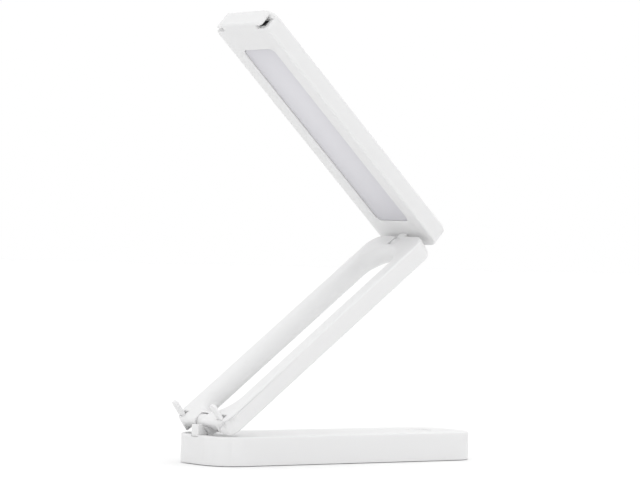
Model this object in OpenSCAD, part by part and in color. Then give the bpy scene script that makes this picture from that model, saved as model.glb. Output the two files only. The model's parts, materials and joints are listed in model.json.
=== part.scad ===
// Folding LED desk lamp: a flat rounded base, an open ring arm and a flat light head, joined end to end
// by two friction hinges, so that the three bars fold flat on one another.
// Millimetres. The table is z = 0, the base is centred on the origin and both hinges turn about the Y axis.

/* [Base] */
// Length of the base along X
base_length = 200; // [160:1:260]
// Width shared by the base, the arm and the head
width = 50.5; // [46:0.5:64]
// Height of the top of the base above the table
base_height = 17.5; // [16:0.5:24]
// Radius of the base corners seen from above
base_corner = 17.5; // [12:0.5:20]
// Radius of the rounded edges of the base
base_edge = 1; // [0.5:0.1:1.5]
// Height of the rubber feet below the housing
foot_drop = 0.4; // [0.3:0.1:1.5]

/* [Arm] */
// Distance between the two hinge axes along the arm
arm_span = 177.8; // [140:0.1:230]
// Thickness of the arm
arm_thick = 12; // [11:0.5:15]
// Radius of the arm corners seen from above
arm_corner = 10; // [8:0.5:14]
// Width of the long slot at its narrowest level
slot_width = 26; // [18:1:28]
// Height of the latch tabs above the arm
tab_rise = 10; // [6:0.5:11]
// Angle of the arm above the table as drawn
arm_angle = 36.7; // [0:0.1:95]

/* [Head] */
// Length of the head
head_length = 189.5; // [150:0.5:250]
// Thickness of the head
head_thick = 11.5; // [11:0.5:14]
// Radius of the head corners seen from above
head_corner = 8; // [6:0.5:14]
// Distance from the free end of the head to the lit window
window_margin = 21.15; // [14:0.05:60]
// Width of the lit window
window_width = 30; // [20:1:34]
// Downward slope of the head from its free end to its hinge, as drawn
head_angle = 42.3; // [0:0.1:130]

/* [Hinges] */
// Radius of the hinge pins
pin_radius = 1.5; // [1.2:0.1:1.8]
// Width of a hinge lug across the lamp
lug_width = 6.4; // [5:0.1:8]
// Radius of the eye on the base's hinge post
post_eye = 4.6; // [3.6:0.1:5]
// Radius of the eye on the head's hinge lug
head_eye = 5.6; // [4.6:0.1:6]

/* [Button] */
// Radius of the power button
button_radius = 7; // [5:0.5:9]

/* [Clearances] */
// Radial running clearance of a hinge pin in the arm
pin_play = 0.05; // [0.02:0.01:0.1]
// Side clearance between still pieces that fit into one another
seat_play = 0.2; // [0.1:0.05:0.3]
// Clearance round the hinge lugs where they swing
swing_play = 0.4; // [0.3:0.1:0.8]

/* [Hidden] */
$fn = 48;
over = 1;                                  // overshoot of cutters past open faces
bond = 0.5;                                // overlap of forms joined into one piece
press_play = 0.02;                         // radial play of a pin held fast

// base
base_wall = 2.2;
base_top_wall = 2.5;
base_roof = base_height - base_top_wall;   // underside of the top wall
plate_z = foot_drop + 0.3;
plate_thick = 2;
base_floor = plate_z + plate_thick;        // upper face of the bottom plate
base_screw_inset = [13, 9];                // from the end and the side of the base
base_screw_x = base_length / 2 - base_screw_inset[0];
base_screw_y = width / 2 - base_screw_inset[1];
base_screw_length = 9;
base_boss = 3;
plate_post = 2;                            // radius of the posts under the control board
plate_post_inset = 4;
foot_inset = [22, 11];
foot_x = base_length / 2 - foot_inset[0];
foot_y = width / 2 - foot_inset[1];
foot_radius = 5;
foot_seat = 0.8;                           // depth of a foot in the bottom plate
screw_sink = 1.3;                          // depth of the screw heads' seats

// lower hinge, in the base frame
hinge_inset = 8.4;                         // axis from the end of the base
fold_gap = 0.3;                            // folded arm above the base
arm_below = 7.2;                           // underside of the arm below the lower axis
lower_x = -base_length / 2 + hinge_inset;
lower_z = base_height + fold_gap + arm_below;

// arm, in its own frame: X runs along it from the lower axis, Z is square to its broad faces
arm_above = arm_thick - arm_below;
arm_mid = arm_above - arm_thick / 2;
arm_start = -5.2;
arm_stop = arm_span + 4.9;
arm_length = arm_stop - arm_start;
arm_edge = 1.5;
slot_end_low = 6.4;                        // width of the cross pieces at the ends of the slot
slot_end_high = 9;
bull_radius = arm_thick / 2 + 0.2;         // rounding of the slot's edge, a little over half round
bull_path = slot_width / 2 + bull_radius;  // centre line of that rounding
slot_low = arm_start + slot_end_low + bull_path;
slot_high = arm_stop - slot_end_high - bull_path;
arch_radius = 32.4;
arch_top = 1.9;                            // crown of the arch above the lower axis
arch_reach = 4.5;
arch_web = 1.5;                            // full walls beside the lug, under the arch
barrel_radius = 3.6;
cheek_reach = 14;                          // half length of the pin bores
pin_reach = 13.5;

// latch tabs
tab_thick = 1.8;
tab_start = -2.4;
tab_width = 4.8;
tab_y = 19;
tab_top = arm_above + tab_rise;
tab_floor = arm_above - 3.6;
tab_round = 1.5;
tab_foot = 1.6;                            // thickness of the foot that holds a tab in its pocket
pocket_play = 0.1;
pocket_stop = 2.4;
pocket_outer = 2.6;                        // outer side of a pocket from the middle of its tab

// rail channels and their covers
channel_y = bull_path + 1.5;
channel_width = 4;
channel_top = 0;
cover_width = 5.6;
cover_thick = 1.4;
cover_start = slot_low + 1;
cover_stop = slot_high - 1;
cover_screw_inset = 5.5;
cover_screw_length = 6.5;
cover_screw_head = 0.75;
channel_inset = 11;

// head, in its own frame: the origin is the upper axis, X runs to the hinge end, Z to the outer face
head_clear = 8.3;                          // lit face from the upper axis
head_stop = 6.6;                           // hinge end past the axis
head_start = head_stop - head_length;
head_mid = (head_start + head_stop) / 2;
head_edge = 1.2;
head_skin = 2;
head_wall = 2.6;
back_inset = 1.4;
back_thick = 1.6;
head_outer = head_clear + head_thick;
back_z = head_outer - back_thick - 0.2;
head_boss = 2.6;
cavity_start = head_start + 9;
cavity_stop = head_stop - head_wall;
window_corner = 4;
flange = 2;
lug_flange_front = 11.4;
lug_room = 1.35;                           // from the light box to the flange of the hinge lug
window_start = head_start + window_margin;
window_stop = -lug_flange_front - lug_room - flange;
window_length = window_stop - window_start;
window_mid = (window_start + window_stop) / 2;
lens_z = head_clear + 1;                   // the lens lies 1 mm deep in its window
flange_z = head_clear + head_skin;
lens_thick = 1.5;
frame_z = flange_z + lens_thick;
frame_height = 3;
board_z = frame_z + frame_height;
board_thick = 1.2;
led_rows = 2;
led_columns = 14;
led_size = [3.5, 2.8, 0.8];
led_margin = 3.5;                          // from the first light to the end of the window
rib_count = 5;
rib_thick = 1.2;
rib_height = 6;
rib_inset = 10;                            // from the first holding rib to the end of the window
pad_start = -12.4;
pad_half = 12;
pad_height = 4;
latch_play = 0.3;
slot_depth = tab_top + latch_play - (head_clear + arm_mid);
latch_inner = tab_y - tab_width / 2 - latch_play;
rib_from = window_width / 2 + flange + 0.1;
rib_reach = width / 2 - head_wall + bond - rib_from;
slot_from = -arm_span + tab_start - 2 * latch_play;
slot_to = -arm_span + tab_start + tab_thick + latch_play;
head_screw_x = [head_start + 6.6, head_stop - 5.9];
head_screw_y = [10, 18.2];
head_screw_length = 6.5;
head_screw_drop = 0.3;                     // screw heads below the outer face

// lugs and washers
lug_flange_thick = 2.2;
lug_flange_half = 8;
lug_flange_back = 3.8;
base_neck = [base_wall + 2 * seat_play - hinge_inset, -2.1]; // reach of the necks along the lamp
head_neck = [0.6, 4.1];
neck_top = -1;
post_front = seat_play - hinge_inset;
post_top = -1.5;
post_lip = 1;                              // depth of the post's front in the end of the base
washer_radius = 3.1;
washer_thick = 0.3;
washer_gap = 0.05;
notch_half = lug_width / 2 + 2 * washer_gap + washer_thick;
notch_skin = 0.6;                          // least wall that is left over a notch
lug_screw_back = 7.6;
lug_screw_y = 5;
small_head = 1.8;
small_head_height = 1.2;
small_shank = 0.9;
small_bite = 1.9;                          // length of a small screw in its wall
large_head = 2.4;
large_head_height = 1.2;
large_shank = 1.1;

// ballast and electronics in the base
bay_wall = 7.25;
bay_half = width / 2 - bay_wall;
bay_gap = 4;
circuit_gap = 8;
circuit_inset = 5;                         // from the end of the board to the end of the base
circuit_size = [41, 25, 1.6];
circuit_x = base_length / 2 - circuit_inset - circuit_size[0];
battery_length = 50;
battery_start = circuit_x - circuit_gap - battery_length;
ballast_inset = 17.6;                      // from the hinge axis
ballast_start = lower_x + ballast_inset;
ballast_length = battery_start - bay_gap - ballast_start;
ballast_height = 8;
battery_height = 8.5;
button_inset = 28;
button_x = base_length / 2 - button_inset;
button_play = 0.35;
button_sink = 0.3;
button_travel = 0.4;
button_gap = 0.05;                         // between the button's flange and the top wall
button_flange = button_radius + 1.2;
button_flange_thick = 1.1;
button_low = base_roof - button_gap - button_flange_thick;
button_stem = 2;
board_lift = 3;
board_low = base_floor + board_lift;
circuit_top = board_low + circuit_size[2];
socket_size = [8.5, 9, 3.3];
socket_inset = 0.4;
socket_wall = 0.4;
socket_back = 1.5;
tongue = [1.3, 2];                         // lower and upper face of the contact tongue
switch_half = 3;
switch_height = 3.6;
plunger_radius = 1.7;
plunger_rise = 4.5;
plunger_top = circuit_top + plunger_rise;

// ---- frames of the two moving bars -------------------------------------------------------------

module on_arm() {
    translate([lower_x, 0, lower_z]) rotate([0, -arm_angle, 0]) children();
}

module on_head() {
    on_arm() translate([arm_span, 0, arm_mid]) rotate([0, arm_angle + head_angle, 0]) children();
}

// ---- shared forms ------------------------------------------------------------------------------

// Rounded rectangle centred on the origin.
module plan(length, wide, radius) {
    square([length - 2 * radius, wide], center = true);
    square([length, wide - 2 * radius], center = true);
    for (x = [-1, 1], y = [-1, 1])
        translate([x * (length / 2 - radius), y * (wide / 2 - radius)]) circle(radius);
}

module plate(length, wide, radius, thick) {
    linear_extrude(thick) plan(length, wide, radius);
}

// Plate with rounded corners and rounded edges, centred on the origin.
module soft_plate(length, wide, radius, thick, edge) {
    rotate([90, 0, 90]) translate([0, 0, -length / 2 + radius])
        linear_extrude(length - 2 * radius) plan(wide, thick, edge);
    rotate([90, 0, 0]) translate([0, 0, -wide / 2 + radius])
        linear_extrude(wide - 2 * radius) plan(length, thick, edge);
    for (x = [-1, 1], y = [-1, 1])
        translate([x * (length / 2 - radius), y * (wide / 2 - radius), 0])
            rotate_extrude() intersection() {
                plan(2 * radius, thick, edge);
                translate([0, -thick / 2]) square([radius, thick]);
            }
}

// Cylinder along Y, centred on the XZ origin.
module across(radius, half) {
    rotate([90, 0, 0]) translate([0, 0, -half]) cylinder(r = radius, h = 2 * half);
}

module block(from, to) {
    translate(from) cube(to - from);
}

// Screw, tip up, with the face of its flat head at z = 0.
module screw(head, shank, head_height, length) {
    cylinder(r = head, h = head_height);
    cylinder(r = shank, h = length);
}

// Hinge lug: an eye round the pin on a neck, with a flange that bolts under a wall.
// The origin is the hinge axis, drop the distance to the wall, wall its thickness, neck the reach
// of the neck along the lamp and top the height where it ends in the eye.
module lug(eye, drop, wall, neck, top) {
    seat = -drop - wall;
    difference() {
        union() {
            across(eye, lug_width / 2);
            block([neck[0], -lug_width / 2, seat - bond], [neck[1], lug_width / 2, top]);
            block([min(-lug_flange_back, neck[0] - 0.1), -lug_flange_half, seat - lug_flange_thick],
                [lug_flange_front, lug_flange_half, seat]);
            children();
        }
        across(pin_radius + press_play, lug_width);
        for (y = [-1, 1])
            translate([lug_screw_back, y * lug_screw_y, seat - lug_flange_thick - over])
                cylinder(r = small_shank + seat_play, h = lug_flange_thick + 2 * over);
    }
}

// Two thrust washers beside a lug, centred on the hinge axis.
module washers() {
    for (y = [-1, 1])
        translate([0, y * (lug_width / 2 + washer_gap + washer_thick / 2), 0]) difference() {
            across(washer_radius, washer_thick / 2);
            across(pin_radius + press_play, washer_thick);
        }
}

// The two screws that hold a lug's flange, in the lug's frame.
module lug_screw_pair(drop, wall) {
    for (y = [-1, 1])
        translate([lug_screw_back, y * lug_screw_y, -drop - wall - lug_flange_thick - small_head_height])
            screw(small_head, small_shank, small_head_height,
                small_head_height + lug_flange_thick + small_bite);
}

// Blind bores in the wall for those screws.
module lug_screw_bores(drop, wall) {
    for (y = [-1, 1])
        translate([lug_screw_back, y * lug_screw_y, -drop - wall - over])
            cylinder(r = small_shank, h = over + small_bite);
}

module lug_opening(drop, wall, neck) {
    block([neck[0] - seat_play, -lug_width / 2 - seat_play, -drop - wall - over],
        [neck[1] + seat_play, lug_width / 2 + seat_play, -drop + over]);
}

// ---- base --------------------------------------------------------------------------------------

base_drop = lower_z - base_height;

module in_base_hinge() {
    translate([lower_x, 0, lower_z]) children();
}

module at_base_screws() {
    for (x = [-1, 1], y = [-1, 1]) translate([x * base_screw_x, y * base_screw_y, 0]) children();
}

module at_feet() {
    for (x = [-1, 1], y = [-1, 1]) translate([x * foot_x, y * foot_y, 0]) children();
}

module base_shell() {
    color("white") difference() {
        union() {
            difference() {
                // the rounding of the lower edge is cut away, which leaves a crisp rim
                translate([0, 0, (base_height + foot_drop) / 2 - base_edge])
                    soft_plate(base_length, width, base_corner, base_height - foot_drop + 2 * base_edge,
                        base_edge);
                block([-base_length, -width, -base_height], [base_length, width, foot_drop]);
                translate([0, 0, foot_drop - over])
                    plate(base_length - 2 * base_wall, width - 2 * base_wall, base_corner - base_wall,
                        base_roof - foot_drop + over);
            }
            at_base_screws() translate([0, 0, base_floor])
                cylinder(r = base_boss, h = base_roof - base_floor + bond);
        }
        at_base_screws() translate([0, 0, base_floor - over])
            cylinder(r = large_shank, h = base_screw_length + over);
        in_base_hinge() lug_opening(base_drop, base_top_wall, base_neck);
        // rebate for the front of the post
        in_base_hinge() block([-hinge_inset - over, -lug_width / 2 - seat_play,
                -base_drop - post_lip - seat_play],
            [base_neck[0], lug_width / 2 + seat_play, over - base_drop]);
        in_base_hinge() lug_screw_bores(base_drop, base_top_wall);
        translate([button_x, 0, base_roof - over])
            cylinder(r = button_radius + button_play, h = base_top_wall + 2 * over);
        // mouth for the charging plug
        block([base_length / 2 - base_wall - over, -socket_size[1] / 2 - seat_play, circuit_top - seat_play],
            [base_length / 2 + over, socket_size[1] / 2 + seat_play,
                circuit_top + socket_size[2] + seat_play]);
    }
}

module base_plate() {
    color("gainsboro") difference() {
        union() {
            translate([0, 0, plate_z])
                plate(base_length - 2 * base_wall - 2 * seat_play, width - 2 * base_wall - 2 * seat_play,
                    base_corner - base_wall - seat_play, plate_thick);
            for (x = [plate_post_inset, circuit_size[0] - plate_post_inset], y = [-1, 1])
                translate([circuit_x + x, y * (circuit_size[1] / 2 - plate_post_inset), base_floor - bond])
                    cylinder(r = plate_post, h = board_low - base_floor + bond);
        }
        at_base_screws() translate([0, 0, plate_z - over])
            cylinder(r = large_head + seat_play, h = over + screw_sink);
        at_base_screws() translate([0, 0, plate_z])
            cylinder(r = large_shank + seat_play, h = plate_thick + over);
        at_feet() translate([0, 0, plate_z - over]) cylinder(r = foot_radius, h = over + foot_seat);
    }
}

module base_screws() {
    color("silver") at_base_screws() translate([0, 0, plate_z + screw_sink - large_head_height])
        screw(large_head, large_shank, large_head_height, base_screw_length);
}

module feet() {
    color("dimgray") at_feet() cylinder(r = foot_radius, h = plate_z + foot_seat);
}

module ballast() {
    color("slategray") block([ballast_start, -bay_half, base_floor],
        [ballast_start + ballast_length, bay_half, base_floor + ballast_height]);
}

module battery() {
    color("cornflowerblue") block([battery_start, -bay_half, base_floor],
        [battery_start + battery_length, bay_half, base_floor + battery_height]);
}

module control_board() {
    color("seagreen") translate([circuit_x, -circuit_size[1] / 2, board_low]) cube(circuit_size);
}

// Charging inlet, open towards the end of the base, with its contact tongue.
module charge_socket() {
    inner = socket_size[1] - socket_wall;
    mouth = socket_size[0] + over;
    start = base_length / 2 - socket_inset - socket_size[0];
    color("silver") translate([start, -socket_size[1] / 2, circuit_top])
        difference() {
            cube(socket_size);
            block([socket_back, socket_wall, socket_wall], [mouth, inner, tongue[0]]);
            block([socket_back, socket_wall, tongue[1]], [mouth, inner, socket_size[2] - socket_wall]);
            block([socket_size[0] - socket_back, socket_wall, socket_wall],
                [mouth, inner, socket_size[2] - socket_wall]);
        }
}

module key_switch() {
    color("black") translate([button_x, 0, circuit_top]) {
        block([-switch_half, -switch_half, 0], [switch_half, switch_half, switch_height]);
        cylinder(r = plunger_radius, h = plunger_top - circuit_top);
    }
}

module power_button() {
    stem_low = plunger_top + button_travel + button_gap;
    color("white") translate([button_x, 0, 0]) {
        translate([0, 0, button_low]) cylinder(r = button_radius, h = base_height - button_sink - button_low);
        translate([0, 0, button_low]) cylinder(r = button_flange, h = button_flange_thick);
        translate([0, 0, stem_low]) cylinder(r = button_stem, h = button_low + bond - stem_low);
    }
}

module base_post() {
    color("white") in_base_hinge() lug(post_eye, base_drop, base_top_wall, base_neck, post_top)
        block([post_front, -lug_width / 2, -base_drop - post_lip], [base_neck[1], lug_width / 2, post_top]);
}

module post_screws() {
    color("silver") in_base_hinge() lug_screw_pair(base_drop, base_top_wall);
}

module lower_pin() {
    color("silver") in_base_hinge() across(pin_radius, pin_reach);
}

module lower_washers() {
    color("goldenrod") in_base_hinge() washers();
}

// ---- arm ---------------------------------------------------------------------------------------

// Cutter for the long slot: a racetrack whose sides leave a full-round edge on the frame.
module slot_cutter() {
    tall = arm_thick + 2 * over;
    translate([0, 0, arm_mid]) {
        for (x = [slot_low, slot_high]) translate([x, 0, 0])
            rotate_extrude() difference() {
                translate([0, -tall / 2]) square([bull_path, tall]);
                translate([bull_path, 0]) circle(bull_radius);
            }
        translate([slot_low, 0, 0]) rotate([90, 0, 90])
            linear_extrude(slot_high - slot_low) difference() {
                square([2 * bull_path, tall], center = true);
                for (y = [-1, 1]) translate([y * bull_path, 0]) circle(bull_radius);
            }
    }
}

// Opening for the post: its mouth reaches on over the eye to where the skin is thick enough.
module lower_notch() {
    radius = post_eye + swing_play;
    mouth = sqrt(max(0, pow(radius, 2) - pow(arm_above - notch_skin, 2)));
    across(radius, notch_half);
    block([arm_start - over, -notch_half, -arm_below - over], [base_neck[1] + swing_play, notch_half, over]);
    block([arm_start - over, -notch_half, 0], [mouth, notch_half, arm_above + over]);
}

module upper_notch() {
    translate([arm_span, 0, arm_mid]) across(head_eye + swing_play, notch_half);
    block([arm_span - head_neck[1] - swing_play, -notch_half, -arm_below - over],
        [arm_stop + over, notch_half, arm_above + over]);
}

// The end below the axis follows a circle about it, to clear the base as the arm turns.
module heel_cutter() {
    difference() {
        block([arm_start - over, -width / 2 - over, -arm_below - over], [0, width / 2 + over, 0]);
        across(arm_below, width / 2 + 2 * over);
    }
}

// Arched relief under the lower end, which leaves a barrel round the pin and a wall beside the post.
module arch_cutter() {
    difference() {
        translate([arm_start - over, 0, arch_top - arch_radius]) rotate([0, 90, 0])
            cylinder(r = arch_radius, h = arch_reach - arm_start + over, $fn = 96);
        across(barrel_radius, width);
        across(arm_below, notch_half + arch_web);
    }
}

module at_cover_screws() {
    for (x = [cover_start + cover_screw_inset, cover_stop - cover_screw_inset], y = [-1, 1])
        translate([x, y * channel_y, -arm_below]) children();
}

module arm_frame() {
    color("white") on_arm() difference() {
        translate([(arm_start + arm_stop) / 2, 0, arm_mid])
            soft_plate(arm_length, width, arm_corner, arm_thick, arm_edge);
        slot_cutter();
        heel_cutter();
        arch_cutter();
        lower_notch();
        upper_notch();
        across(pin_radius + pin_play, cheek_reach);
        translate([arm_span, 0, arm_mid]) across(pin_radius + pin_play, cheek_reach);
        for (y = [-1, 1]) {
            translate([0, y * tab_y, 0])
                mirror([0, y < 0 ? 1 : 0, 0])
                    block([tab_start - pocket_play, -tab_width / 2 - pocket_play, tab_floor],
                        [pocket_stop, pocket_outer, arm_above + over]);
            translate([0, y * channel_y, 0]) {
                block([cover_start, -cover_width / 2, -arm_below - over],
                    [cover_stop, cover_width / 2, -arm_below + cover_thick]);
                block([cover_start + channel_inset, -channel_width / 2, -arm_below],
                    [cover_stop - channel_inset, channel_width / 2, channel_top]);
            }
        }
        at_cover_screws() cylinder(r = small_shank, h = cover_screw_length + bond);
    }
}

module rail_covers() {
    color("gainsboro") on_arm() difference() {
        for (y = [-1, 1]) translate([0, y * channel_y, 0])
            block([cover_start + seat_play, -cover_width / 2 + seat_play, -arm_below],
                [cover_stop - seat_play, cover_width / 2 - seat_play, -arm_below + cover_thick]);
        at_cover_screws() translate([0, 0, -over])
            cylinder(r = small_head + seat_play, h = over + cover_screw_head);
        at_cover_screws() cylinder(r = small_shank + seat_play, h = cover_thick + over);
    }
}

module arm_screws() {
    color("silver") on_arm() at_cover_screws()
        screw(small_head, small_shank, cover_screw_head, cover_screw_length);
}

// Two tabs that stand up from pockets in the arm and latch the folded head.
module latch_tabs() {
    color("white") on_arm() for (y = [-1, 1]) translate([0, y * tab_y, 0]) {
        block([tab_start, -tab_width / 2, tab_floor],
            [pocket_stop - pocket_play, tab_width / 2, tab_floor + tab_foot]);
        translate([tab_start, 0, 0]) rotate([90, 0, 90]) linear_extrude(tab_thick) {
            translate([-tab_width / 2, tab_floor]) square([tab_width, tab_top - tab_round - tab_floor]);
            translate([-tab_width / 2 + tab_round, tab_floor])
                square([tab_width - 2 * tab_round, tab_top - tab_floor]);
            for (side = [-1, 1]) translate([side * (tab_width / 2 - tab_round), tab_top - tab_round])
                circle(tab_round);
        }
    }
}

// ---- head --------------------------------------------------------------------------------------

module at_head_screws() {
    for (end = [0, 1], y = [-1, 1]) translate([head_screw_x[end], y * head_screw_y[end], 0]) children();
}

module in_head_hinge() {
    on_head() rotate([0, 180, 0]) children();
}

// Box of the underside latch slots, one at either corner of the free end, open to the side.
module latch_slots() {
    for (y = [-1, 1]) translate([0, y * (latch_inner + width / 2 + over) / 2, 0])
        block([slot_from, -(width / 2 + over - latch_inner) / 2, head_clear - over],
            [slot_to, (width / 2 + over - latch_inner) / 2, head_clear + slot_depth]);
}

module head_shell() {
    color("white") difference() {
        on_head() difference() {
            union() {
                difference() {
                    translate([head_mid, 0, head_clear + head_thick / 2])
                        soft_plate(head_length, width, head_corner, head_thick, head_edge);
                    translate([(cavity_start + cavity_stop) / 2, 0, flange_z])
                        plate(cavity_stop - cavity_start, width - 2 * head_wall, head_corner - head_wall,
                            head_thick);
                    translate([head_mid, 0, back_z])
                        plate(head_length - 2 * back_inset, width - 2 * back_inset, head_corner - back_inset,
                            head_thick);
                }
                // pad under the hinge lug
                block([pad_start, -pad_half, flange_z - bond],
                    [cavity_stop + bond, pad_half, head_clear + pad_height]);
                for (y = [-1, 1]) translate([head_screw_x[1], y * head_screw_y[1], flange_z - bond])
                    cylinder(r = head_boss, h = back_z - flange_z + bond);
                // ribs that centre the light box
                for (x = [-1, 0, 1], y = [-1, 1])
                    translate([window_mid + x * window_length / 3, y * (rib_from + rib_reach / 2), flange_z])
                        block([-rib_thick / 2, -rib_reach / 2, -bond],
                            [rib_thick / 2, rib_reach / 2, rib_height]);
            }
            translate([window_mid, 0, head_clear - over])
                plate(window_length, window_width, window_corner, head_skin + 2 * over);
            latch_slots();
            at_head_screws() translate([0, 0, back_z - head_screw_length])
                cylinder(r = large_shank, h = head_screw_length + over);
        }
        in_head_hinge() lug_opening(head_clear, pad_height, head_neck);
        in_head_hinge() lug_screw_bores(head_clear, pad_height);
    }
}

module head_back() {
    color("gainsboro") on_head() difference() {
        union() {
            translate([head_mid, 0, back_z])
                plate(head_length - 2 * back_inset - 2 * seat_play, width - 2 * back_inset - 2 * seat_play,
                    head_corner - back_inset - seat_play, back_thick);
            // ribs that hold the light box down
            for (step = [0:rib_count - 1])
                translate([window_mid + (step / (rib_count - 1) - 0.5) * (window_length - 2 * rib_inset), 0, 0])
                    block([-rib_thick / 2, -window_width / 2, board_z + board_thick],
                        [rib_thick / 2, window_width / 2, back_z + bond]);
        }
        at_head_screws() translate([0, 0, head_outer - head_screw_drop - large_head_height])
            cylinder(r = large_head + seat_play, h = large_head_height + over);
        at_head_screws() translate([0, 0, back_z - over])
            cylinder(r = large_shank + seat_play, h = back_thick + 2 * over);
    }
}

module head_screws() {
    color("silver") on_head() at_head_screws() translate([0, 0, head_outer - head_screw_drop])
        rotate([180, 0, 0]) screw(large_head, large_shank, large_head_height, head_screw_length);
}

module diffuser() {
    color("aliceblue") on_head() translate([window_mid, 0, 0]) {
        translate([0, 0, flange_z])
            plate(window_length + 2 * flange, window_width + 2 * flange, window_corner + 1, lens_thick);
        translate([0, 0, lens_z])
            plate(window_length - 2 * seat_play, window_width - 2 * seat_play, window_corner - seat_play,
                flange_z - lens_z + bond);
    }
}

module light_frame() {
    color("white") on_head() translate([window_mid, 0, frame_z]) difference() {
        plate(window_length + 2 * flange, window_width + 2 * flange, window_corner + 1, frame_height);
        translate([0, 0, -over])
            plate(window_length, window_width, window_corner, frame_height + 2 * over);
    }
}

module led_board() {
    color("whitesmoke") on_head() translate([window_mid, 0, board_z])
        plate(window_length + 2 * flange, window_width + 2 * flange, window_corner + 1, board_thick);
}

module leds() {
    pitch = (window_length - 2 * led_margin) / led_columns;
    color("khaki") on_head() translate([window_mid, 0, board_z - led_size[2]])
        for (column = [0:led_columns - 1], row = [0:led_rows - 1])
            translate([(column - (led_columns - 1) / 2) * pitch - led_size[0] / 2,
                (row - (led_rows - 1) / 2) * window_width / 2 - led_size[1] / 2, 0])
                cube(led_size);
}

module head_lug() {
    color("white") in_head_hinge() lug(head_eye, head_clear, pad_height, head_neck, neck_top);
}

module lug_screws() {
    color("silver") in_head_hinge() lug_screw_pair(head_clear, pad_height);
}

module upper_pin() {
    color("silver") in_head_hinge() across(pin_radius, pin_reach);
}

module upper_washers() {
    color("goldenrod") in_head_hinge() washers();
}

base_shell();
base_plate();
ballast();
battery();
control_board();
charge_socket();
key_switch();
feet();
base_screws();
base_post();
post_screws();
lower_pin();
lower_washers();
power_button();
arm_frame();
rail_covers();
arm_screws();
latch_tabs();
head_shell();
head_back();
head_screws();
diffuser();
light_frame();
led_board();
leds();
head_lug();
lug_screws();
upper_pin();
upper_washers();
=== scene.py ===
# %% [markdown]
# # A folding desk lamp, from solids to a finished scene
#
# The lamp is three flat bars of white plastic, hinged end to end: a heavy base, an open ring of an
# arm and a thin head with a long frosted window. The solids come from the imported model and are
# already right in size, so this script gives them only what a solid lacks: finishes, worked edges,
# small turned parts, a room with light, and a camera. Blender works in metres, but small things
# are easier to think of in millimetres, so lengths are written in those and multiplied by mm.

# %% Load the solids
import bpy
import json
import math
from mathutils import Matrix, Quaternion, Vector


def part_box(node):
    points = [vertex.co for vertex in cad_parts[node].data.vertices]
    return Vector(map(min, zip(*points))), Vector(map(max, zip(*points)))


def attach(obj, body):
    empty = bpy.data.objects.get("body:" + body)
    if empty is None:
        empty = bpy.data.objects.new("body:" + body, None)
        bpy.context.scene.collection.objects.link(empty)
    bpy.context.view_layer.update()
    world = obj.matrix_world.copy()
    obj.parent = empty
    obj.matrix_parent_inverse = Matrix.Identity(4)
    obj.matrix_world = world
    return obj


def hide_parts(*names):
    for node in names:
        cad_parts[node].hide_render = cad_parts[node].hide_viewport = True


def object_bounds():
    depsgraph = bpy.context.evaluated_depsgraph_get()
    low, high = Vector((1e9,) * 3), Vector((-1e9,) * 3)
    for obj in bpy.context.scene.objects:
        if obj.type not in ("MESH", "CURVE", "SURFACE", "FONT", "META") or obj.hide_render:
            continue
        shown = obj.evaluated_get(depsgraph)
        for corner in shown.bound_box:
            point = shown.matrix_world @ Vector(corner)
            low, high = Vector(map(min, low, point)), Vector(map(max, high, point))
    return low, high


mm = 0.001
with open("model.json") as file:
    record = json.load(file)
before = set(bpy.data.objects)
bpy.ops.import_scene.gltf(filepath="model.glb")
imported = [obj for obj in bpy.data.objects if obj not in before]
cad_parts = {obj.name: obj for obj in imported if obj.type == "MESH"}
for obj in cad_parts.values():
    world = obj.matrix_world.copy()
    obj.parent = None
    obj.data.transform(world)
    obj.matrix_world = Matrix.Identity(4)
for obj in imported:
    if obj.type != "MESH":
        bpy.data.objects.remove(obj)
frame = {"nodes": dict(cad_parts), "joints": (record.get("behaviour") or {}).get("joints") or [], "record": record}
solid_box = [list(corner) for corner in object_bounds()]
extent = Vector(solid_box[1]) - Vector(solid_box[0])
print(len(frame["nodes"]), "solids fill a box of", [round(side / mm) for side in extent], "mm")

# %% [markdown]
# ## Where things are
#
# Both hinges turn about lines across the lamp, so each bar has a simple frame of its own. The
# places of the hinges and the angles of the bars could be typed in again, but they would go wrong
# as soon as the model moved, so they are read from the joints: the arm is folded when its joint is
# at its lowest value, and so is the head. A point on a bar is then three numbers in millimetres.

# %% Frames of the three bars
joints = {joint["name"]: joint for joint in frame["joints"]}
lower_axis = Vector(joints["arm_hinge"]["pos_m"])
upper_axis = Vector(joints["head_hinge"]["pos_m"])
arm_angle = -math.radians(joints["arm_hinge"]["range_deg"][0])
head_fold = -math.radians(joints["head_hinge"]["range_deg"][0])
head_angle = head_fold - arm_angle

base_frame = Matrix.Identity(4)
arm_frame = Matrix.Translation(lower_axis) @ Matrix.Rotation(-arm_angle, 4, "Y")
head_frame = Matrix.Translation(upper_axis) @ Matrix.Rotation(head_angle, 4, "Y")
for hinge_name, axis in (("lower", lower_axis), ("upper", upper_axis)):
    print(hinge_name, "hinge at", [round(value / mm, 1) for value in axis], "mm")

# %% [markdown]
# ## Wiring a finish
#
# A finish is a small network of nodes. Placing the nodes one by one hides what they work out, so
# the network is written as arithmetic: a socket is wrapped in a class that knows how to add,
# subtract and multiply itself. Every other node is made by one method, which takes the node's
# type, its settings and what its sockets get.

# %% Sockets that can be added and multiplied
class Signal:
    """What comes out of a node."""

    def __init__(self, socket):
        self.socket = socket

    def math(self, operation, first, second):
        return Finish.node_in(self.socket.id_data, "ShaderNodeMath", {"operation": operation},
            {0: first, 1: second})

    def __add__(self, other):
        return self.math("ADD", self, other)

    def __radd__(self, other):
        return self.math("ADD", other, self)

    def __sub__(self, other):
        return self.math("SUBTRACT", self, other)

    def __rsub__(self, other):
        return self.math("SUBTRACT", other, self)

    def __mul__(self, other):
        return self.math("MULTIPLY", self, other)

    def __rmul__(self, other):
        return self.math("MULTIPLY", other, self)


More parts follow.
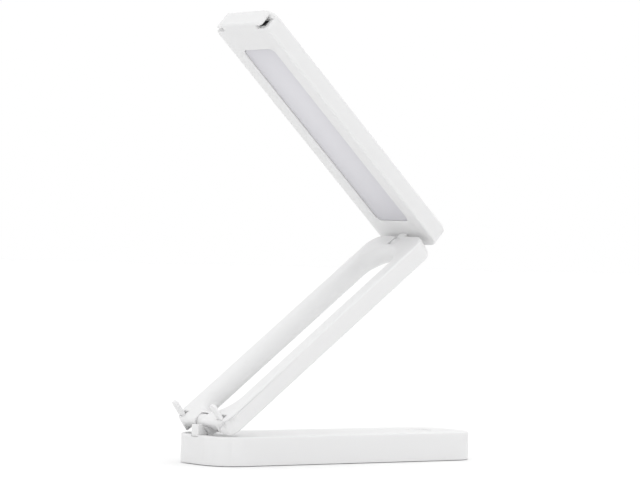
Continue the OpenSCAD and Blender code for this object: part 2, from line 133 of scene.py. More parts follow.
print("sockets can be added, subtracted and multiplied")

# %% [markdown]
# ### One material, one shader
#
# Plastic, metal and rubber differ in numbers, not in kind, so one Principled shader serves each of
# them. The class below holds a material and its network, and knows the few nodes that the lamp
# needs: soft noise, a mix of two colours, and a relief that is finer than any mesh could be.

# %% A material and its nodes
class Finish:
    """A material built round one Principled shader."""

    def __init__(self, name):
        self.material = bpy.data.materials.new(name)
        self.material.use_nodes = True
        self.tree = self.material.node_tree
        self.shader = self.tree.nodes["Principled BSDF"]
        self.place = self.node("ShaderNodeTexCoord", output="Object")

    @staticmethod
    def node_in(tree, kind, settings=None, inputs=None, output=0):
        """Adds a node to any network: first its settings, then its sockets."""
        node = tree.nodes.new(kind)
        for name, value in (settings or {}).items():
            setattr(node, name, value)
        for name, value in (inputs or {}).items():
            if isinstance(value, Signal):
                tree.links.new(value.socket, node.inputs[name])
            else:
                node.inputs[name].default_value = value
        return Signal(node.outputs[output])

    def node(self, kind, settings=None, inputs=None, output=0):
        return Finish.node_in(self.tree, kind, settings, inputs, output)

    def noise(self, size, detail=2.0):
        """Soft noise from 0 to 1, whose patches are about size millimetres across."""
        return self.node("ShaderNodeTexNoise", None,
            {"Vector": self.place, "Scale": 1 / (size * mm), "Detail": detail})

    def mix(self, share, first, second):
        """A colour that goes from first to second as share goes from 0 to 1."""
        colour_a, colour_b, colour_out = 6, 7, 2
        return self.node("ShaderNodeMix", {"data_type": "RGBA"},
            {0: share, colour_a: (*first, 1), colour_b: (*second, 1)}, output=colour_out)

    def set(self, **values):
        """Gives the shader's sockets their values, with _ for a space in a socket's name."""
        for name, value in values.items():
            socket = self.shader.inputs[name.replace("_", " ").title()]
            if isinstance(value, Signal):
                self.tree.links.new(value.socket, socket)
            else:
                socket.default_value = value

    def relief(self, height, depth):
        """Raises the surface by height, which runs from 0 to 1, times depth in millimetres."""
        self.set(normal=self.node("ShaderNodeBump", None,
            {"Height": height, "Distance": depth * mm, "Strength": 1.0}))


print("a finish can be wired")

# %% [markdown]
# ## White satin plastic
#
# The housings are moulded in white plastic. One flat white would look like paper. On a real
# moulding the fine texture of the mould breaks up the shine, and the melt leaves faint clouds
# where it cooled at different speeds. So the colour drifts by about one part in eighty, the
# roughness drifts with it, and a fine grain raises the surface by less than a hundredth of a
# millimetre. A quarter of the light enters the plastic and comes out again close by, which keeps
# grooves pale.

# %% Moulded plastic
def moulded(name, colour, roughness, grain=0.35, depth=0.008, drift=0.012, glow=0.0):
    """Plastic, rubber or lacquer whose grain is that wide and deep, in millimetres."""
    finish = Finish(name)
    clouds = finish.noise(size=22, detail=3.0)
    spark = finish.noise(size=grain)
    shade = tuple(channel * (1 - drift) for channel in colour)
    dull_clouds, dull_spark = 0.06, 0.05
    finish.set(base_color=finish.mix(clouds, shade, colour),
        roughness=roughness + dull_clouds * clouds + dull_spark * spark)
    finish.relief(spark, depth)
    reach = 3
    finish.set(subsurface_weight=glow, subsurface_radius=(reach, reach, reach),
        subsurface_scale=mm)
    return finish


shell_white = moulded("satin_white_plastic", (0.72, 0.72, 0.722), 0.36, glow=0.25)
panel_white = moulded("panel_white_plastic", (0.71, 0.71, 0.713), 0.40, grain=0.5, glow=0.25)
print("white plastic takes", len(shell_white.tree.nodes), "nodes")

# %% [markdown]
# ## The frosted window
#
# The head's window is milky acrylic with a matt face. With the lamp off it looks like a pale
# grey-lilac sheet, slightly lighter along its middle, where the light box behind it throws the
# room's light back. Real translucency would need a lit box behind it and many samples, so the
# lighter middle is a broad band of colour instead, laid out from the sheet's own place on the
# head.

# %% Milky acrylic
def milky(name, edge, middle):
    """A frosted sheet that goes from one colour at its edges to another at its middle."""
    finish = Finish(name)
    clouds = finish.noise(size=9)
    frost = finish.noise(size=0.25)
    low, high = (Vector(corner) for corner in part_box("diffuser"))
    half_length = 0.5 * (high - low).x / math.cos(head_angle)
    half_width = high.y
    on_sheet = finish.node("ShaderNodeMapping", {"vector_type": "TEXTURE"},
        {"Vector": finish.place, "Location": (low + high) / 2, "Rotation": (0, head_angle, 0),
         "Scale": (half_length, half_width, 1)})
    across = finish.node("ShaderNodeSeparateXYZ", None, {0: on_sheet}, output="Y")
    along = finish.node("ShaderNodeSeparateXYZ", None, {0: on_sheet}, output="X")
    band = (1 - across * across) * (1 - along * along * along * along)
    patchy, matt, dull_frost = 0.15, 0.5, 0.1
    finish.set(base_color=finish.mix(band * (1 - patchy + patchy * clouds), edge, middle),
        roughness=matt + dull_frost * frost)
    finish.relief(frost, depth=0.004)
    return finish


lens_milk = milky("milky_acrylic", edge=(0.585, 0.58, 0.612), middle=(0.662, 0.657, 0.688))
print("milky acrylic takes", len(lens_milk.tree.nodes), "nodes")

# %% [markdown]
# ## Metals, rubber and board
#
# Turned pins and screws carry fine rings. Cutting the rings would be far too fine, so the
# roughness of a metal is streaked instead. Rubber is near black and almost matt. The circuit board
# is green lacquer over copper, and the yellow dots on the light board are the resin that caps each
# light.

# %% Small parts' finishes
def metal(name, colour, roughness):
    """Bare metal with a streaked shine and faint stains."""
    finish = Finish(name)
    streak = finish.noise(size=0.4, detail=4.0)
    stain = finish.noise(size=4)
    tarnish, dull_streak = 0.1, 0.15
    stained = tuple((1 - tarnish) * channel for channel in colour)
    finish.set(base_color=finish.mix(stain, stained, colour), metallic=1.0,
        roughness=roughness + dull_streak * streak)
    finish.relief(streak, depth=0.003)
    return finish


steel = metal("plated_steel", (0.62, 0.62, 0.63), 0.24)
finishes = {
    "white_shell": shell_white,
    "pale_panel": panel_white,
    "button": shell_white,
    "lens": lens_milk,
    "contact": steel,
    "screw": steel,
    "pin": metal("ground_steel", (0.68, 0.68, 0.69), 0.18),
    "washer": metal("washer_brass", (0.78, 0.60, 0.30), 0.25),
    "ballast": metal("cast_ballast", (0.28, 0.29, 0.31), 0.5),
    "cell": metal("cell_foil", (0.52, 0.58, 0.68), 0.35),
    "foot": moulded("foot_rubber", (0.045, 0.045, 0.048), 0.7, grain=0.3, depth=0.01, drift=0.2),
    "switch": moulded("switch_black", (0.02, 0.02, 0.022), 0.45, drift=0.2),
    "circuit": moulded("green_lacquer", (0.03, 0.16, 0.08), 0.3, grain=1.2, depth=0.02, drift=0.3),
    "led_board": moulded("white_lacquer", (0.76, 0.76, 0.74), 0.35, grain=1.0),
    "led": moulded("yellow_resin", (0.85, 0.62, 0.12), 0.25, drift=0.1),
    "light_box": moulded("light_box_white", (0.86, 0.86, 0.86), 0.6),
}
print(len(finishes), "slots have a finish")

# %% [markdown]
# ## Dressing the solids
#
# Every solid arrives in one plain colour, and the record says which slot it takes its finish from.
# A finish is put into the solid's own material slots, so the mesh isn't touched. Solids that a
# worked copy replaces later are dressed too, which costs nothing and leaves none of them bare.

# %% Dress the solids
slot_of = {part["node"]: part["material_slot"] for part in frame["record"]["subparts"]}
for name, solid in frame["nodes"].items():
    for material_slot in solid.material_slots:
        material_slot.material = finishes[slot_of[name]].material
print("dressed", len(slot_of), "nodes")

# %% [markdown]
# ## The bench
#
# Every new piece is made with the same few moves as by hand: clear the selection, add a simple
# form, go into edit mode, pick the faces or edges that matter by where they are, and shape them.
# They could be picked by number, but the numbers change with every edit, and a place doesn't.

# %% Selecting and picking
def take(piece):
    """Makes the piece the only one selected, and the active one."""
    bpy.ops.object.select_all(action="DESELECT")
    piece.select_set(True)
    bpy.context.view_layer.objects.active = piece


def edit(piece):
    take(piece)
    bpy.ops.object.mode_set(mode="EDIT")


def done():
    bpy.ops.object.mode_set(mode="OBJECT")


def pick_faces(piece, wanted):
    """Selects the faces whose centre and normal, in millimetres, pass the test."""
    bpy.ops.mesh.select_mode(type="FACE")
    bpy.ops.mesh.select_all(action="DESELECT")
    done()
    for face in piece.data.polygons:
        face.select = bool(wanted(face.center / mm, face.normal))
    bpy.ops.object.mode_set(mode="EDIT")


def pick_edges(piece, wanted):
    """Selects the edges whose two ends, in millimetres, pass the test."""
    bpy.ops.mesh.select_mode(type="EDGE")
    bpy.ops.mesh.select_all(action="DESELECT")
    done()
    for edge in piece.data.edges:
        first, second = (piece.data.vertices[index].co / mm for index in edge.vertices)
        edge.select = bool(wanted(first, second))
    bpy.ops.object.mode_set(mode="EDIT")


def near(value, target, slack=0.05):
    """True when a value is the target, give or take the slack, in millimetres."""
    return abs(value - target) < slack


def extrude(value):
    """Pulls the picked faces out by a step in millimetres."""
    bpy.ops.mesh.extrude_region_move(TRANSFORM_OT_translate={"value": Vector(value) * mm})


print("faces and edges can be picked by place")

# %% [markdown]
# ### Modifiers and the finished piece
#
# Modifiers round the edges and cut one form out of another. They could stay live, but a piece that
# is exported needs its final mesh, so each is applied at once. A finished piece ends at the
# origin, unturned and unscaled, with its place in its mesh, so that it follows its bar when a
# hinge turns.

# %% Modifiers, copies and names
def apply_modifier(piece, kind, **settings):
    take(piece)
    modifier = piece.modifiers.new(kind.lower(), kind)
    for name, value in settings.items():
        setattr(modifier, name, value)
    bpy.ops.object.modifier_apply(modifier=modifier.name)


def cut(piece, cutter):
    """Takes the cutter's form out of the piece and throws the cutter away."""
    apply_modifier(piece, "BOOLEAN", object=cutter, operation="DIFFERENCE", solver="EXACT")
    bpy.data.objects.remove(cutter)


def soften(piece, width, segments=2, angle=40):
    """Rounds every edge sharper than the angle, by a width in millimetres."""
    apply_modifier(piece, "BEVEL", width=width * mm, segments=segments, limit_method="ANGLE",
        angle_limit=math.radians(angle), harden_normals=False)


def settle(piece, name, place, body, material_slot, *nodes):
    """Puts a shaped piece in its place on the lamp and says what it rides on and stands for."""
    sharpest_smooth = math.radians(32)
    take(piece)
    piece.matrix_world = place
    bpy.ops.object.transform_apply(location=True, rotation=True, scale=True)
    bpy.ops.object.shade_smooth_by_angle(angle=sharpest_smooth)
    piece.name = name
    piece.data.name = name
    piece.data.materials.clear()
    piece.data.materials.append(finishes[material_slot].material)
    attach(piece, body)
    if nodes:
        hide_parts(*nodes)


def twin(piece):
    """A copy with a mesh of its own."""
    other = piece.copy()
    other.data = piece.data.copy()
    bpy.context.scene.collection.objects.link(other)
    return other


def copies(pattern, name, places, body, material_slot, *nodes):
    """Settles a copy of the pattern at each place and throws the pattern away."""
    for number, place in enumerate(places, 1):
        settle(twin(pattern), f"{name}_{number}", place, body, material_slot, *nodes)
    bpy.data.objects.remove(pattern)
    print("placed", len(places), name)


def at(x, y, z):
    """A place in millimetres."""
    return Matrix.Translation(Vector((x, y, z)) * mm)


print("pieces can be cut, softened, copied and settled")

# %% [markdown]
# ### Round forms and blocks
#
# Nearly all small parts of a lamp come from a lathe. A cylinder with loop cuts would do, but a
# profile says more: a circle is pulled from point to point of it and resized on the way. A block
# between two corners is the start of the pieces that aren't round.

# %% Turning round forms
same_place = 0.001 * mm


def turned(profile, sides=48, ring=False):
    """Pulls a circle from point to point of a profile of (radius, height), as on a lathe."""
    bpy.ops.object.select_all(action="DESELECT")
    radius, height = profile[0]
    bpy.ops.mesh.primitive_circle_add(vertices=sides, radius=radius * mm,
        location=(0, 0, height * mm), fill_type="NOTHING" if ring else "NGON")
    piece = bpy.context.object
    bpy.ops.object.transform_apply(location=True)
    edit(piece)
    bpy.ops.mesh.select_all(action="SELECT")
    for next_radius, next_height in profile[1:]:
        pull = {"value": (0, 0, (next_height - height) * mm)}
        if ring:
            bpy.ops.mesh.extrude_edges_move(TRANSFORM_OT_translate=pull)
        else:
            bpy.ops.mesh.extrude_region_move(TRANSFORM_OT_translate=pull)
        share = next_radius / radius
        bpy.ops.transform.resize(value=(share, share, 1),
            center_override=(0, 0, next_height * mm))
        radius, height = next_radius, next_height
    bpy.ops.mesh.select_all(action="SELECT")
    if ring:
        bpy.ops.mesh.remove_doubles(threshold=same_place)
    bpy.ops.mesh.normals_make_consistent(inside=False)
    done()
    return piece


def slab(low, high):
    """A block between two corners, as a start for a piece that isn't round."""
    low, high = Vector(low) * mm, Vector(high) * mm
    bpy.ops.object.select_all(action="DESELECT")
    bpy.ops.mesh.primitive_cube_add(size=1, location=(low + high) / 2, scale=high - low)
    bpy.ops.object.transform_apply(location=True, scale=True)
    return bpy.context.object


print("the bench is ready")

# %% [markdown]
# ## Rubber feet
#
# Four round feet of soft rubber are pressed into pockets under the base. A real foot is a moulded
# button: its rim is rounded, and its sole is slightly hollow so that only a ring touches the
# table. A short cylinder would show neither, so one foot is turned from a profile, and copied to
# the other three pockets.

# %% Turn a foot and copy it
foot = turned([(3.4, 1.5), (4.85, 1.5), (5.0, 1.35), (5.0, 0.35), (4.9, 0.12), (4.65, 0.0),
    (3.9, 0.0), (3.6, 0.12), (2.2, 0.2), (0.6, 0.22)])
foot_x, foot_y = 78, 14.25
foot_places = [at(x, y, 0) for x in (-foot_x, foot_x) for y in (-foot_y, foot_y)]
copies(foot, "rubber_foot", foot_places, "base", "foot", "feet")

# %% [markdown]
# ## Screws
#
# Small cross-head screws hold the covers, the rails and the hinge lugs. The head is a disc with a
# rounded rim, and the driver's recess is a tapered cross, cut out of it with two crossed wedges.
# The shank is plain here, because its thread bites out of sight. The four sizes come from one
# recipe.

# %% One recipe for a screw
def cross_wedges(radius, depth):
    """Two crossed wedges that taper downwards and stand a little above z = 0."""
    half_length, half_width, above = 0.58 * radius, 0.15 * radius, 0.3
    taper = (0.45, 0.6, 1)
    wedges = []
    for turn in (0, 90):
        wedge = slab((-half_length, -half_width, -depth), (half_length, half_width, above))
        edit(wedge)
        pick_faces(wedge, lambda centre, normal: normal.z < -0.9)
        bpy.ops.transform.resize(value=taper, center_override=(0, 0, 0))
        done()
        wedge.rotation_euler.z = math.radians(turn)
        bpy.ops.object.transform_apply(rotation=True)
        wedges.append(wedge)
    return wedges


def cross_screw(head, head_height, shank, length):
    """A screw of these radii and lengths, with its head's top at z = 0 and its tip down."""
    chamfer, recess_depth = 0.1, 0.62 * head_height
    screw = turned([(0.5 * shank, -length), (shank, -length + 0.5 * shank), (shank, -head_height),
        (head - chamfer, -head_height), (head, -head_height + chamfer),
        (head, -0.3 * head_height), (0.88 * head, -0.07 * head_height), (0.7 * head, 0.0)],
        sides=32)
    for wedge in cross_wedges(head, recess_depth):
        cut(screw, wedge)
    return screw


base_screw = cross_screw(head=2.4, head_height=1.2, shank=1.1, length=9.0)
print("a screw has", len(base_screw.data.polygons), "faces")

# %% [markdown]
# ### Where the screws go
#
# The base's screws come up from below, and so do those of its hinge post and of the rails, so they
# are turned over. The head's and its lug's go in from its back. Places that are typed by hand one
# by one drift apart, so each group is worked out from its own spacing, on the screw's own bar. The
# third number of a place is the height of the screw's head.

# %% Fit the screws
turned_over = Matrix.Rotation(math.pi, 4, "X")
base_places = [base_frame @ at(x, y, 0.8) @ turned_over
    for x in (-87, 87) for y in (-16.25, 16.25)]
head_places = [head_frame @ at(x, y, 19.5)
    for x, reach in ((-176.3, 10), (0.7, 18.2)) for y in (-reach, reach)]
arm_places = [arm_frame @ at(x, y, -7.2) @ turned_over
    for x in (26.9, 148) for y in (-20.7, 20.7)]
post_places = [base_frame @ at(-84, y, 11.6) @ turned_over for y in (-5, 5)]
lug_places = [head_frame @ at(-7.6, y, 15.7) for y in (-5, 5)]

head_screw = cross_screw(head=2.4, head_height=1.2, shank=1.1, length=6.5)
flat_screw = cross_screw(head=1.8, head_height=0.75, shank=0.9, length=6.5)
short_screw = cross_screw(head=1.8, head_height=1.2, shank=0.9, length=5.3)
copies(base_screw, "base_screw", base_places, "base", "screw", "base_screws")
copies(head_screw, "head_screw", head_places, "head", "screw", "head_screws")
copies(flat_screw, "arm_screw", arm_places, "arm", "screw", "arm_screws")
copies(twin(short_screw), "post_screw", post_places, "base", "screw", "post_screws")
copies(short_screw, "lug_screw", lug_places, "head", "screw", "lug_screws")

# %% [markdown]
# ## The power button
#
# A round key sits nearly flush in the top of the base. A plain disc would look like a coin, so it
# is a turned cap: a fine rounded rim, a narrow groove just inside it that finds the finger, and a
# shallow dish in the middle. Below the housing it has a flange that keeps it from falling out, and
# a stem over the key switch.

# %% Turn the button
button_x = 72
button_low, button_top = (corner[2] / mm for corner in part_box("power_button"))
stem, flange, key, chamfer = 2.0, 8.2, 7.0, 0.3
flange_low, flange_top = 13.85, 14.95
hidden = [(stem - chamfer, button_low), (stem, button_low + chamfer), (stem, flange_low),
    (flange, flange_low), (flange, flange_top), (key, flange_top)]
rim = [(key, 0.35), (6.9, 0.1), (6.65, 0), (6.1, 0)]
groove = [(6.0, 0.22), (5.75, 0.22)]
dish = [(5.6, 0.05), (4.6, 0.12), (3.0, 0.24), (1.0, 0.3)]
cap = [(radius, button_top - below) for radius, below in rim + groove + dish]
settle(turned(hidden + cap, sides=64), "push_button", at(button_x, 0, 0), "button", "button",
    "power_button")
print("button from z", round(button_low, 2), "to", round(button_top, 2), "mm")

# %% [markdown]
# ## Pins and washers
#
# Each hinge turns on a ground steel pin with chamfered ends, between two thin brass washers. Both
# are lathe work: the pin is one profile pulled along its axis, and the washer is a profile pulled
# all the way round to where it began, so that it closes into a ring.

# %% Turn the pins and the washers
lay_across = Matrix.Rotation(-math.pi / 2, 4, "X")
washer_middle, half_thickness = 3.4, 0.15
pin = turned([(1.2, -13.5), (1.5, -13.2), (1.5, 13.2), (1.2, 13.5)], sides=40)
washer = turned([(1.52, 0.04), (1.6, 0.0), (3.0, 0.0), (3.1, 0.06), (3.1, 0.24), (3.0, 0.3),
    (1.6, 0.3), (1.52, 0.26), (1.52, 0.04)], sides=40, ring=True)
for name, place, body in (("lower", Matrix.Translation(lower_axis), "base"),
        ("upper", head_frame, "head")):
    settle(twin(pin), name + "_hinge_pin", place @ lay_across, body, "pin", name + "_pin")
    washer_places = [place @ at(0, side * washer_middle - half_thickness, 0) @ lay_across
        for side in (-1, 1)]
    copies(twin(washer), name + "_washer", washer_places, body, "washer", name + "_washers")
for pattern in (pin, washer):
    bpy.data.objects.remove(pattern)
print("2 pins lie across the lamp")

# %% [markdown]
# ## The charging inlet
#
# The socket is a folded steel shell with round corners, a deep mouth and a thin tongue that
# carries the contacts. Three forms could be cut and joined, but one block does it too: its four
# long edges are bevelled round, its mouth is one face, inset by the sheet's thickness and pushed
# in, and the tongue is the bottom of that pit, inset again and pulled back out.

# %% Fold the socket
socket_low, socket_high = (91.1, -4.5, 7.3), (99.6, 4.5, 10.6)
fold_radius, sheet, gap = 1.15, 0.35, 0.9
mouth_depth, tongue_length = 6.6, 5.4
tongue_middle, tongue_shrink = Vector((93, 0, 8.95)) * mm, (1, 0.95, 0.875)
socket = slab(socket_low, socket_high)
edit(socket)
pick_edges(socket, lambda first, second: abs(first.x - second.x) > 5)
bpy.ops.mesh.bevel(offset=fold_radius * mm, segments=5)
pick_faces(socket, lambda centre, normal: normal.x > 0.9)
bpy.ops.mesh.inset(thickness=sheet * mm)
extrude((-mouth_depth, 0, 0))
bpy.ops.mesh.inset(thickness=gap * mm)
bpy.ops.transform.resize(value=tongue_shrink, center_override=tongue_middle)
extrude((tongue_length, 0, 0))
done()
settle(socket, "charging_socket", base_frame, "base", "contact", "charge_socket")
print("the socket opens to +X, with", len(socket.data.polygons), "faces")

# %% [markdown]
# ## Latch tabs
#
# Two small tabs stand up near the arm's lower end and slip into slots of the folded head. Each is
# a thin upright blade on a foot that lies in a pocket of the arm. The blade's top corners are
# rounded wide, and all its edges are softened, as a thumb would want. The foot grows out of the
# blade, which is first cut across at the foot's height, so that the two are one piece.

# %% Shape a tab and copy it
blade_back, blade_front, blade_half_width = -2.4, -0.6, 2.4
blade_low, blade_top, thumb_round = 1.2, 14.8, 1.5
foot_top, foot_length = 2.8, 2.9
tab = slab((blade_back, -blade_half_width, blade_low), (blade_front, blade_half_width, blade_top))
edit(tab)
pick_edges(tab, lambda first, second: near(first.z, blade_top) and near(second.z, blade_top)
    and abs(first.x - second.x) > 1)
bpy.ops.mesh.bevel(offset=thumb_round * mm, segments=8)
bpy.ops.mesh.select_all(action="SELECT")
bpy.ops.mesh.bisect(plane_co=Vector((0, 0, foot_top)) * mm, plane_no=(0, 0, 1))
pick_faces(tab, lambda centre, normal: normal.x > 0.9 and centre.z < foot_top)
extrude((foot_length, 0, 0))
done()
soften(tab, 0.25, segments=3, angle=50)
tab_places = [arm_frame @ at(0, y, 0) for y in (-19, 19)]
copies(tab, "latch_tab", tab_places, "arm", "white_shell", "latch_tabs")

# %% [markdown]
# ## Housings with worked edges
#
# A moulding never has a knife edge. Modelling the housings again would risk their size, so they
# keep the solids' exact shape: a copy of each solid is merged into one skin, its flat faces are
# joined up, and only then can an edge be found and worked. The copy then stands for the solid.

# %% Merge a copy of a solid
def skin_of(node):
    """A copy of a solid, with its doubles merged and its flat faces joined up."""
    still_double, still_flat = 0.0005 * mm, math.radians(0.4)
    solid = frame["nodes"][node]
    skin = bpy.data.objects.new(node + "_skin", solid.data.copy())
    bpy.context.scene.collection.objects.link(skin)
    edit(skin)
    bpy.ops.mesh.select_all(action="SELECT")
    bpy.ops.mesh.remove_doubles(threshold=still_double)
    bpy.ops.mesh.dissolve_limited(angle_limit=still_flat)
    done()
    return skin


def lay_square(skin, place):
    """Moves a skin into its bar's own frame, where its sides are square to the axes."""
    take(skin)
    skin.matrix_world = place.inverted()
    bpy.ops.object.transform_apply(location=True, rotation=True)


body_of = {name: body for body, names in frame["record"]["behaviour"]["bodies"].items()
    for name in names}

# %% [markdown]
# ### Plain mouldings
#
# Covers, boards, the ballast, the hinge lugs and the window only need their sharp edges broken. A
# bevel by angle finds those by itself, so one loop does them all, each with a width that suits
# what it is made of: a cast block is rounder than a cut sheet.

# %% Soften the plain mouldings
plain_mouldings = (
    ("base_plate", "underside_cover", 0.15),
    ("head_back", "head_cover", 0.12),
    ("rail_covers", "rail_strips", 0.2),
    ("light_frame", "light_box_frame", 0.2),
    ("ballast", "iron_ballast", 0.6),
    ("battery", "battery_cell", 1.2),
    ("key_switch", "tact_switch", 0.15),
    ("control_board", "circuit_board", 0.1),
    ("base_post", "hinge_post", 0.3),
    ("head_lug", "hinge_lug", 0.3),
    ("diffuser", "frosted_window", 0.25),
    ("led_board", "light_board", 0.1),
    ("leds", "light_emitters", 0.2),
)
for node, name, width in plain_mouldings:
    skin = skin_of(node)
    soften(skin, width)
    settle(skin, name, base_frame, body_of[node], slot_of[node], node)
    print(name, "has", len(skin.data.polygons), "faces")

# %% [markdown]
# ### Parts on the circuit board
#
# A charging board carries a controller chip, a coil and two capacitors. They sit out of sight
# under the top of the base, so simple forms do: the chip is a slab with a bevelled top and a
# dimple that marks its first leg, and the coil and the capacitors are turned.

# %% Place the board's parts
board_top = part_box("control_board")[1][2] / mm
chip_side, chip_top, chip_rim = 3, 1.3, 0.3
chip = slab((-chip_side, -chip_side, 0), (chip_side, chip_side, chip_top))
edit(chip)
pick_faces(chip, lambda centre, normal: normal.z > 0.9)
bpy.ops.mesh.inset(thickness=chip_rim * mm)
bpy.ops.transform.translate(value=(0, 0, 0.5 * chip_rim * mm))
done()
dimple = turned([(0.4, chip_top), (0.4, chip_top + 0.5)], sides=16)
dimple.location = Vector((-2, 2, 0)) * mm
cut(chip, dimple)
settle(chip, "controller_chip", at(62, 0, board_top), "base", "switch")
coil = turned([(2.9, 0), (3.0, 0.2), (3.0, 0.6), (2.5, 0.8), (2.5, 2.2), (3.0, 2.4), (3.0, 2.8),
    (2.8, 3.0)])
settle(coil, "charging_coil", at(82, 7.5, board_top), "base", "ballast")
capacitor = turned([(1.9, 0), (2.0, 0.15), (2.0, 0.8), (1.8, 1.0), (2.0, 1.2), (2.0, 3.6),
    (1.85, 3.8), (0.5, 3.75)])
capacitor_places = [at(60, y, board_top) for y in (-8, 8)]
copies(capacitor, "board_capacitor", capacitor_places, "base", "contact")
print("4 parts stand on the board at z", round(board_top, 2), "mm")

# %% [markdown]
# ### The base's shell
#
# The base keeps the solid's shape, with two mouths worked by hand. The opening for the plug has
# its four corners rounded to follow the socket, and the rim round the button is broken with a
# small rounding, so that it doesn't cut the finger. A bevel by angle would round every other edge
# as well, so the edges of the mouths are picked by place.

# %% Work the base's mouths
base_top, end_wall = 17.5, 97
inlet_half_width, inlet_low, inlet_high = 4.7, 7.1, 10.8
button_hole = 7.35
mouth_round, rim_round = 1.2, 0.3


def in_inlet_corner(end):
    """True for a point on one of the four long edges of the plug's opening."""
    return (end.x > end_wall and near(abs(end.y), inlet_half_width)
        and (near(end.z, inlet_low) or near(end.z, inlet_high)))


def on_button_rim(end):
    from_middle = math.hypot(end.x - button_x, end.y)
    return near(end.z, base_top, 0.01) and near(from_middle, button_hole)


base_skin = skin_of("base_shell")
edit(base_skin)
pick_edges(base_skin, lambda first, second: in_inlet_corner(first) and in_inlet_corner(second)
    and abs(first.x - second.x) > 1 and near(first.z, second.z, 0.01))
bpy.ops.mesh.bevel(offset=mouth_round * mm, segments=5)
pick_edges(base_skin, lambda first, second: on_button_rim(first) and on_button_rim(second))
bpy.ops.mesh.bevel(offset=rim_round * mm, segments=3)
done()
settle(base_skin, "base_housing", base_frame, "base", "white_shell", "base_shell")
print("the base housing has", len(base_skin.data.polygons), "faces")

# %% [markdown]
# ### The head's shell
#
# The window's mouth has a narrow rounded lip, which catches a thin line of shade all round the
# frosted sheet. The head leans, so its skin is first laid square, where the lip is easy to find:
# its edges lie in the lit face and inside the window's outline. The lip is bevelled by half a
# millimetre, and the skin goes back to its place.

# %% Work the window's lip
lit_face = 8.3
window_low, window_high, window_half_width = -161.75, -14.75, 15
margin, lip_round = 0.1, 0.5


def on_lip(corner):
    return (near(corner.z, lit_face, 0.02)
        and window_low - margin < corner.x < window_high + margin
        and abs(corner.y) < window_half_width + margin)


head_skin = skin_of("head_shell")
lay_square(head_skin, head_frame)
edit(head_skin)
pick_edges(head_skin, lambda first, second: on_lip(first) and on_lip(second))
bpy.ops.mesh.bevel(offset=lip_round * mm, segments=3)
done()
settle(head_skin, "head_housing", head_frame, "head", "white_shell", "head_shell")
print("the head housing has", len(head_skin.data.polygons), "faces")

# %% [markdown]
# ### Painted shade in the latch slots
#
# The two slots in the head's corners are lined with a thin near-black sheet in the feet's rubber
# finish, which is painted shade: it darkens the walls deep in the slots, where shade falls. It could
# be a folded strip, but a block is quicker: its two ends and its outer side are taken off, so that a
# tab can pass, and the three walls that stay are thickened inwards.

# %% Line the latch slots with painted shade
slot_back, slot_front = -180.8, -178.1
slot_inner, slot_outer = 16.3, 21.6
slot_low, slot_high = lit_face + 2.7, lit_face + 6.6
shade_sheet_thickness = 0.1
# Each sheet is painted shade: it makes the slot's walls near-black where shade falls inside.
for number, side in enumerate((-1, 1), 1):
    first_y, second_y = sorted((side * slot_inner, side * slot_outer))
    shade_sheet = slab((slot_back, first_y, slot_low), (slot_front, second_y, slot_high))
    edit(shade_sheet)
    pick_faces(shade_sheet, lambda centre, normal: abs(normal.z) > 0.9 or normal.y * side > 0.9)
    bpy.ops.mesh.delete(type="FACE")
    done()
    apply_modifier(shade_sheet, "SOLIDIFY", thickness=shade_sheet_thickness * mm, offset=-1)
    settle(shade_sheet, f"slot_painted_shade_{number}", head_frame, "head", "foot")
print("2 slot linings")

# %% [markdown]
# ### The arm's parting line
#
# The arm is moulded in two halves that meet in a fine line along each side, just below the rounded
# upper edge, and the line curls round the lower hinge. A painted line would have no shade of its
# own, so a thin tube is laid along that path and cut out of the arm. The tube tapers, so the line
# fades as it runs up the arm, and near the hinge it follows the arm's rounded corner.

# %% The line's path
arm_half_width, corner_radius, corner_start = 25.25, 10, 4.8
line_length, line_height, line_steps, faint = 60, 2.8, 30, 0.15
curl_radius, curl_middle, tube_radius = 5.0, -2.2, 0.45


def arm_side(along):
    """Half the arm's width at a distance along it from the hinge, in millimetres."""
    into_corner = max(0.0, corner_start - along)
    return arm_half_width - corner_radius + math.sqrt(corner_radius ** 2 - into_corner ** 2)


line_path = []
for step in range(line_steps + 1):
    progress = step / line_steps
    line_path.append((line_length * (1 - progress), line_height, faint + (1 - faint) * progress))
for degrees in range(8, 150, 8):
    turn = math.radians(degrees)
    curl_height = curl_middle + curl_radius * math.cos(turn)
    line_path.append((-curl_radius * math.sin(turn), curl_height, 1))
print("the line's path has", len(line_path), "points")

# %% Cut the parting lines
arm_skin = skin_of("arm_frame")
lay_square(arm_skin, arm_frame)
for side in (-1, 1):
    line = bpy.data.curves.new("parting_line", "CURVE")
    line.dimensions = "3D"
    line.bevel_depth = tube_radius * mm
    line.bevel_resolution = 2
    line.use_fill_caps = True
    strand = line.splines.new("POLY")
    strand.points.add(len(line_path) - 1)
    for point, (along, height, thickness) in zip(strand.points, line_path):
        point.co = (along * mm, side * arm_side(along) * mm, height * mm, 1)
        point.radius = thickness
    tube = bpy.data.objects.new("parting_line", line)
    bpy.context.scene.collection.objects.link(tube)
    take(tube)
    bpy.ops.object.convert(target="MESH")
    cut(arm_skin, bpy.context.object)
settle(arm_skin, "arm_ring", arm_frame, "arm", "white_shell", "arm_frame")
print("the arm ring has", len(arm_skin.data.polygons), "faces")

# %% [markdown]
# ## The room
#
# White on white needs an even, bright room, so most of the light comes from all round, and the
# floor throws it back up. A small floor would show its edge behind the lamp, so it is far wider
# than the view. It is pale and matt, with clouds so faint that they only keep it from looking
# printed.

# %% The floor
bpy.ops.object.select_all(action="DESELECT")
bpy.ops.mesh.primitive_plane_add(size=24, location=(0, 0, 0))
floor = bpy.context.object
floor.name = "floor"
pale_floor = Finish("pale_floor")
pale_floor.set(base_color=pale_floor.mix(pale_floor.noise(size=400), (0.86, 0.86, 0.86),
    (0.875, 0.875, 0.875)), roughness=0.9)
floor.data.materials.append(pale_floor.material)
print("the floor is", round(floor.dimensions.x), "m wide")

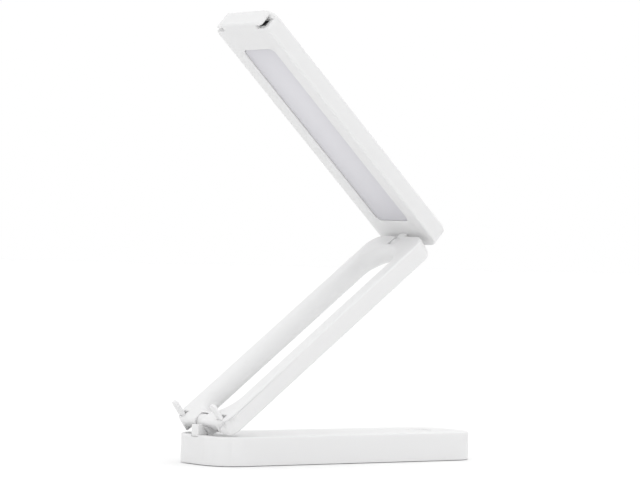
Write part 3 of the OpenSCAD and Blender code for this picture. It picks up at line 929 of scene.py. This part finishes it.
# %% [markdown]
# ### Walls that glow
#
# Real walls would need corners and would cast lamp light back unevenly. A glowing world does the
# same work: it shines all round, a little more from the left, and about a third more from straight
# above, as a pale ceiling does.

# %% Glowing walls
wall_glow, left_glow, ceiling_glow = 1.0, 0.04, 0.36
world = bpy.data.worlds.new("white_room")
bpy.context.scene.world = world
world.use_nodes = True
backdrop = world.node_tree.nodes["Background"]
backdrop.inputs["Color"].default_value = (1, 1, 1, 1)


def world_node(kind, settings=None, inputs=None, output=0):
    return Finish.node_in(world.node_tree, kind, settings, inputs, output)


direction = world_node("ShaderNodeTexCoord", output="Generated")
ahead = world_node("ShaderNodeSeparateXYZ", None, {0: direction}, output="X")
upwards = world_node("ShaderNodeSeparateXYZ", None, {0: direction}, output="Z")
left = world_node("ShaderNodeMath", {"operation": "MAXIMUM"}, {0: 0 - ahead, 1: 0.0})
above = world_node("ShaderNodeMath", {"operation": "MAXIMUM"}, {0: upwards, 1: 0.0})
glow = wall_glow + left_glow * (left * left) + ceiling_glow * (above * above)
world.node_tree.links.new(glow.socket, backdrop.inputs["Strength"])
print("the walls glow with", len(world.node_tree.nodes), "nodes")

# %% [markdown]
# ### Soft lamps
#
# Light that comes evenly from all round leaves a white thing without form, so four soft lamps
# model it. One hangs behind the lamp and lifts the faces that look up, two stand in front and fill
# the hollows, and one is tall and narrow and draws a thin bright line down each rounded corner.

# %% Four soft lamps
lamp_aim = Vector((0, 0, 0.12))


def area_lamp(name, place, width, height, power):
    lamp = bpy.data.objects.new(name, bpy.data.lights.new(name, "AREA"))
    bpy.context.scene.collection.objects.link(lamp)
    lamp.data.shape = "RECTANGLE"
    lamp.data.size = width
    lamp.data.size_y = height
    lamp.data.energy = power
    lamp.location = place
    lamp.rotation_mode = "QUATERNION"
    lamp.rotation_quaternion = (lamp_aim - Vector(place)).to_track_quat("-Z", "Y")
    print(name, "gives", power, "W")


area_lamp("behind_above", (1.25, 0.2, 1.5), width=1.4, height=1.4, power=2.5)
area_lamp("camera_side", (-1.1, -1.35, 0.2), width=1.0, height=1.0, power=0.9)
area_lamp("front_right", (1.2, -1.2, 0.5), width=1.0, height=1.0, power=1.0)
area_lamp("tall_strip", (-1.65, -1.15, 0.6), width=0.12, height=1.4, power=2.4)

# %% [markdown]
# ## The camera
#
# The camera stands low and far back with a long lens, a little to the left of the lamp's near
# side, so the bars keep their true proportions. It is placed by two angles round the point that it
# looks at, because they are easier to judge than three coordinates. It is also turned a touch
# about its own line of sight, which tips the table's line by the same amount.

# %% Camera
camera_side = math.radians(38)
camera_lift = math.radians(-0.11)
camera_roll = math.radians(1.66)
camera_back = 1.722
aim_point = Vector((-0.0304, -0.025, 0.1336))
towards_camera = Vector((-math.sin(camera_side) * math.cos(camera_lift),
    -math.cos(camera_side) * math.cos(camera_lift), math.sin(camera_lift)))

camera = bpy.data.objects.new("camera", bpy.data.cameras.new("camera"))
bpy.context.scene.collection.objects.link(camera)
bpy.context.scene.camera = camera
camera.location = aim_point + camera_back * towards_camera
camera.rotation_mode = "QUATERNION"
level_view = (-towards_camera).to_track_quat("-Z", "Y")
camera.rotation_quaternion = level_view @ Quaternion((0, 0, 1), camera_roll)
camera.data.sensor_width = 36
camera.data.lens = 163.1
bpy.context.scene.view_settings.view_transform = "Standard"
print("camera at", [round(value, 3) for value in camera.location], "lens", camera.data.lens)
